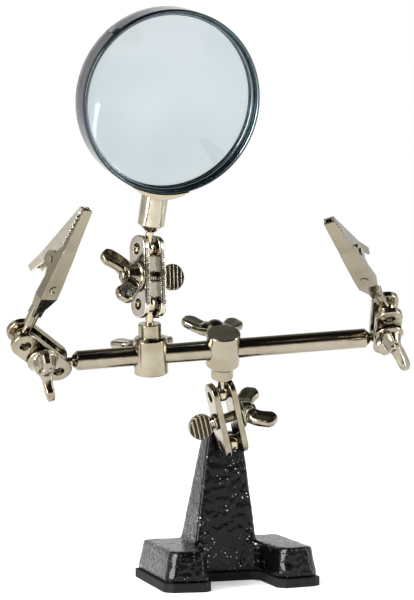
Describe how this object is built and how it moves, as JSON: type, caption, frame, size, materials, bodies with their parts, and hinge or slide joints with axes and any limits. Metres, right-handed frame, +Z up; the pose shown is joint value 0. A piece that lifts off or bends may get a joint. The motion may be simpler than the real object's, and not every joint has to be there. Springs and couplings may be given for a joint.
{
  "type": "helping hands clamp",
  "caption": "Weighted bench clamp with a magnifying lens and spring clips on ball-jointed arms along a cross rod.",
  "frame": {"origin": "underside of the rubber mat, below the middle of the column's foot", "axes": "+X across the base to the viewer's right, -Y to the front where the toes point, +Z up"},
  "size_m": [0.1373, 0.0923, 0.1946],
  "materials": {
    "black_hammertone": "glossy black hammertone paint",
    "rubber": "matte",
    "nickel": "polished nickel plate",
    "bright_nickel": "bright nickel plate",
    "band_steel": "polished dark chrome",
    "spring_steel": "bright wire",
    "lens_glass": "clear"
  },
  "bodies": {
    "base": {"base_casting": "black_hammertone", "rubber_mat": "rubber"},
    "base_stud": {"base_ball_stud": "nickel"},
    "base_link": {"base_link_plate_left": "nickel", "base_link_plate_right": "nickel"},
    "base_screw": {"base_clamp_screw": "nickel"},
    "base_nut": {"base_wing_nut": "nickel"},
    "rod_block_stud": {"rod_block_ball_stud": "nickel"},
    "rod_block": {"rod_block": "nickel"},
    "rod_block_screw": {"rod_block_wing_screw": "nickel"},
    "rod": {"cross_rod": "nickel"},
    "lens_block": {"lens_block": "nickel"},
    "lens_block_screw": {"lens_block_wing_screw": "nickel"},
    "lens_block_stud": {"lens_block_ball_stud": "nickel"},
    "lens_link": {"lens_link_plate_left": "bright_nickel", "lens_link_plate_right": "bright_nickel"},
    "lens_screw": {"lens_clamp_screw": "nickel"},
    "lens_nut": {"lens_wing_nut": "nickel"},
    "magnifier_stud": {"magnifier_ball_stud": "nickel"},
    "magnifier": {"magnifier_ferrule": "nickel", "magnifier_saddle": "nickel", "magnifier_band": "band_steel", "magnifier_lens": "lens_glass", "magnifier_ring_front": "spring_steel", "magnifier_ring_back": "spring_steel"},
    "left_rod_stud": {"left_rod_ball_stud": "nickel"},
    "left_link": {"left_link_plate_near": "nickel", "left_link_plate_far": "nickel"},
    "left_screw": {"left_clamp_screw": "nickel"},
    "left_nut": {"left_wing_nut": "nickel"},
    "left_clip_stud": {"left_clip_ball_stud": "nickel"},
    "left_clip": {"left_clip_fixed_jaw": "nickel", "left_clip_pivot_pin": "nickel", "left_clip_spring": "spring_steel"},
    "left_clip_jaw": {"left_clip_moving_jaw": "nickel"},
    "right_rod_stud": {"right_rod_ball_stud": "nickel"},
    "right_link": {"right_link_plate_near": "nickel", "right_link_plate_far": "nickel"},
    "right_screw": {"right_clamp_screw": "nickel"},
    "right_nut": {"right_wing_nut": "nickel"},
    "right_clip_stud": {"right_clip_ball_stud": "nickel"},
    "right_clip": {"right_clip_fixed_jaw": "nickel", "right_clip_pivot_pin": "nickel", "right_clip_spring": "spring_steel"},
    "right_clip_jaw": {"right_clip_moving_jaw": "nickel"}
  },
  "joints": [
    {"name": "base_stud_spin", "type": "hinge", "parent": "base", "child": "base_stud", "pos_m": [0, -0.0168, 0.0493], "axis": [0, -0.9848, 0.1736], "range_deg": [-45, 45]},
    {"name": "base_link_tilt", "type": "hinge", "parent": "base_stud", "child": "base_link", "pos_m": [0, -0.0168, 0.0493], "axis": [0.9537, 0, 0.3007], "range_deg": [-38, 80]},
    {"name": "base_screw_turn", "type": "hinge", "parent": "base_link", "child": "base_screw", "pos_m": [-0.00271, -0.01905, 0.05791], "axis": [0.9537, 0, 0.3007], "range_deg": [-90, 90]},
    {"name": "base_nut_turn", "type": "hinge", "parent": "base_screw", "child": "base_nut", "pos_m": [-0.00271, -0.01905, 0.05791], "axis": [0.9537, 0, 0.3007], "continuous": true},
    {"name": "rod_block_tilt", "type": "hinge", "parent": "base_link", "child": "rod_block_stud", "pos_m": [-0.00543, -0.0213, 0.06651], "axis": [-0.9537, 0, -0.3007], "range_deg": [-80, 80]},
    {"name": "rod_block_spin", "type": "hinge", "parent": "rod_block_stud", "child": "rod_block", "pos_m": [-0.00543, -0.0213, 0.06651], "axis": [0.1173, 0.4704, -0.8746], "range_deg": [-170, 170]},
    {"name": "rod_block_screw_turn", "type": "hinge", "parent": "rod_block", "child": "rod_block_screw", "pos_m": [-0.00749, -0.02958, 0.08191], "axis": [0.0612, 0.8756, 0.4791], "range_deg": [-180, 180]},
    {"name": "rod_slide", "type": "slide", "parent": "rod_block", "child": "rod", "axis": [-0.9912, 0.1097, -0.0739], "range_m": [-0.012, 0.03]},
    {"name": "lens_block_slide", "type": "slide", "parent": "rod", "child": "lens_block", "axis": [0.9912, -0.1097, 0.0739], "range_m": [-0.018, 0.012]},
    {"name": "lens_block_screw_turn", "type": "hinge", "parent": "lens_block", "child": "lens_block_screw", "pos_m": [-0.03227, -0.02684, 0.08006], "axis": [0.0907, 0.9703, 0.2243], "range_deg": [-180, 180]},
    {"name": "lens_stud_spin", "type": "hinge", "parent": "lens_block", "child": "lens_block_stud", "pos_m": [-0.03227, -0.02684, 0.08006], "axis": [-0.0963, -0.2157, 0.9717], "range_deg": [-170, 170]},
    {"name": "lens_link_tilt", "type": "hinge", "parent": "lens_block_stud", "child": "lens_link", "pos_m": [-0.03397, -0.03063, 0.09716], "axis": [0.9455, 0.3256, -0.0087], "range_deg": [-85, 38]},
    {"name": "lens_screw_turn", "type": "hinge", "parent": "lens_link", "child": "lens_screw", "pos_m": [-0.03408, -0.03007, 0.10644], "axis": [-0.9455, -0.3256, 0.0087], "range_deg": [-90, 90]},
    {"name": "lens_nut_turn", "type": "hinge", "parent": "lens_screw", "child": "lens_nut", "pos_m": [-0.03408, -0.03007, 0.10644], "axis": [-0.9455, -0.3256, 0.0087], "continuous": true},
    {"name": "magnifier_tilt", "type": "hinge", "parent": "lens_link", "child": "magnifier_stud", "pos_m": [-0.03418, -0.0295, 0.11572], "axis": [-0.9455, -0.3256, 0.0087], "range_deg": [-52, 85]},
    {"name": "magnifier_spin", "type": "hinge", "parent": "magnifier_stud", "child": "magnifier", "pos_m": [-0.03418, -0.0295, 0.11572], "axis": [0.0681, -0.2792, 0.9578], "range_deg": [-170, 170]},
    {"name": "left_rod_stud_spin", "type": "hinge", "parent": "rod", "child": "left_rod_stud", "pos_m": [-0.06419, -0.0233, 0.07768], "axis": [0.9912, -0.1097, 0.0739], "range_deg": [-170, 170]},
    {"name": "left_link_tilt", "type": "hinge", "parent": "left_rod_stud", "child": "left_link", "pos_m": [-0.06419, -0.0233, 0.07768], "axis": [-0.0877, 0.714, 0.6947], "range_deg": [-85, 33]},
    {"name": "left_screw_turn", "type": "hinge", "parent": "left_link", "child": "left_screw", "pos_m": [-0.07075, -0.02829, 0.08198], "axis": [0.0877, -0.714, -0.6947], "range_deg": [-90, 90]},
    {"name": "left_nut_turn", "type": "hinge", "parent": "left_screw", "child": "left_nut", "pos_m": [-0.07075, -0.02829, 0.08198], "axis": [0.0877, -0.714, -0.6947], "continuous": true},
    {"name": "left_clip_tilt", "type": "hinge", "parent": "left_link", "child": "left_clip_stud", "pos_m": [-0.07732, -0.03328, 0.08628], "axis": [-0.0877, 0.714, 0.6947], "range_deg": [-85, 38]},
    {"name": "left_clip_spin", "type": "hinge", "parent": "left_clip_stud", "child": "left_clip", "pos_m": [-0.07732, -0.03328, 0.08628], "axis": [-0.2826, 0.5547, -0.7826], "range_deg": [-170, 170]},
    {"name": "left_jaw_open", "type": "hinge", "parent": "left_clip", "child": "left_clip_jaw", "pos_m": [-0.06934, -0.04872, 0.11117], "axis": [-0.9087, -0.416, 0.0333], "range_deg": [0, 30], "stiffness_Nm_per_rad": 0.08, "springref_deg": -57.3},
    {"name": "right_rod_stud_spin", "type": "hinge", "parent": "rod", "child": "right_rod_stud", "pos_m": [0.04921, -0.03586, 0.08613], "axis": [0.9912, -0.1097, 0.0739], "range_deg": [-170, 170]},
    {"name": "right_link_tilt", "type": "hinge", "parent": "right_rod_stud", "child": "right_link", "pos_m": [0.04921, -0.03586, 0.08613], "axis": [0, -0.5299, -0.848], "range_deg": [-85, 18]},
    {"name": "right_screw_turn", "type": "hinge", "parent": "right_link", "child": "right_screw", "pos_m": [0.04649, -0.0434, 0.09084], "axis": [0, -0.5299, -0.848], "range_deg": [-90, 90]},
    {"name": "right_nut_turn", "type": "hinge", "parent": "right_screw", "child": "right_nut", "pos_m": [0.04649, -0.0434, 0.09084], "axis": [0, -0.5299, -0.848], "continuous": true},
    {"name": "right_clip_tilt", "type": "hinge", "parent": "right_link", "child": "right_clip_stud", "pos_m": [0.04377, -0.05094, 0.09556], "axis": [0, 0.5299, 0.848], "range_deg": [-75, 85]},
    {"name": "right_clip_spin", "type": "hinge", "parent": "right_clip_stud", "child": "right_clip", "pos_m": [0.04377, -0.05094, 0.09556], "axis": [0.6268, 0.5643, -0.5373], "range_deg": [-170, 170]},
    {"name": "right_jaw_open", "type": "hinge", "parent": "right_clip", "child": "right_clip_jaw", "pos_m": [0.02508, -0.06693, 0.11335], "axis": [-0.7632, 0.5837, -0.2771], "range_deg": [0, 30], "stiffness_Nm_per_rad": 0.08, "springref_deg": -57.3}
  ]
}
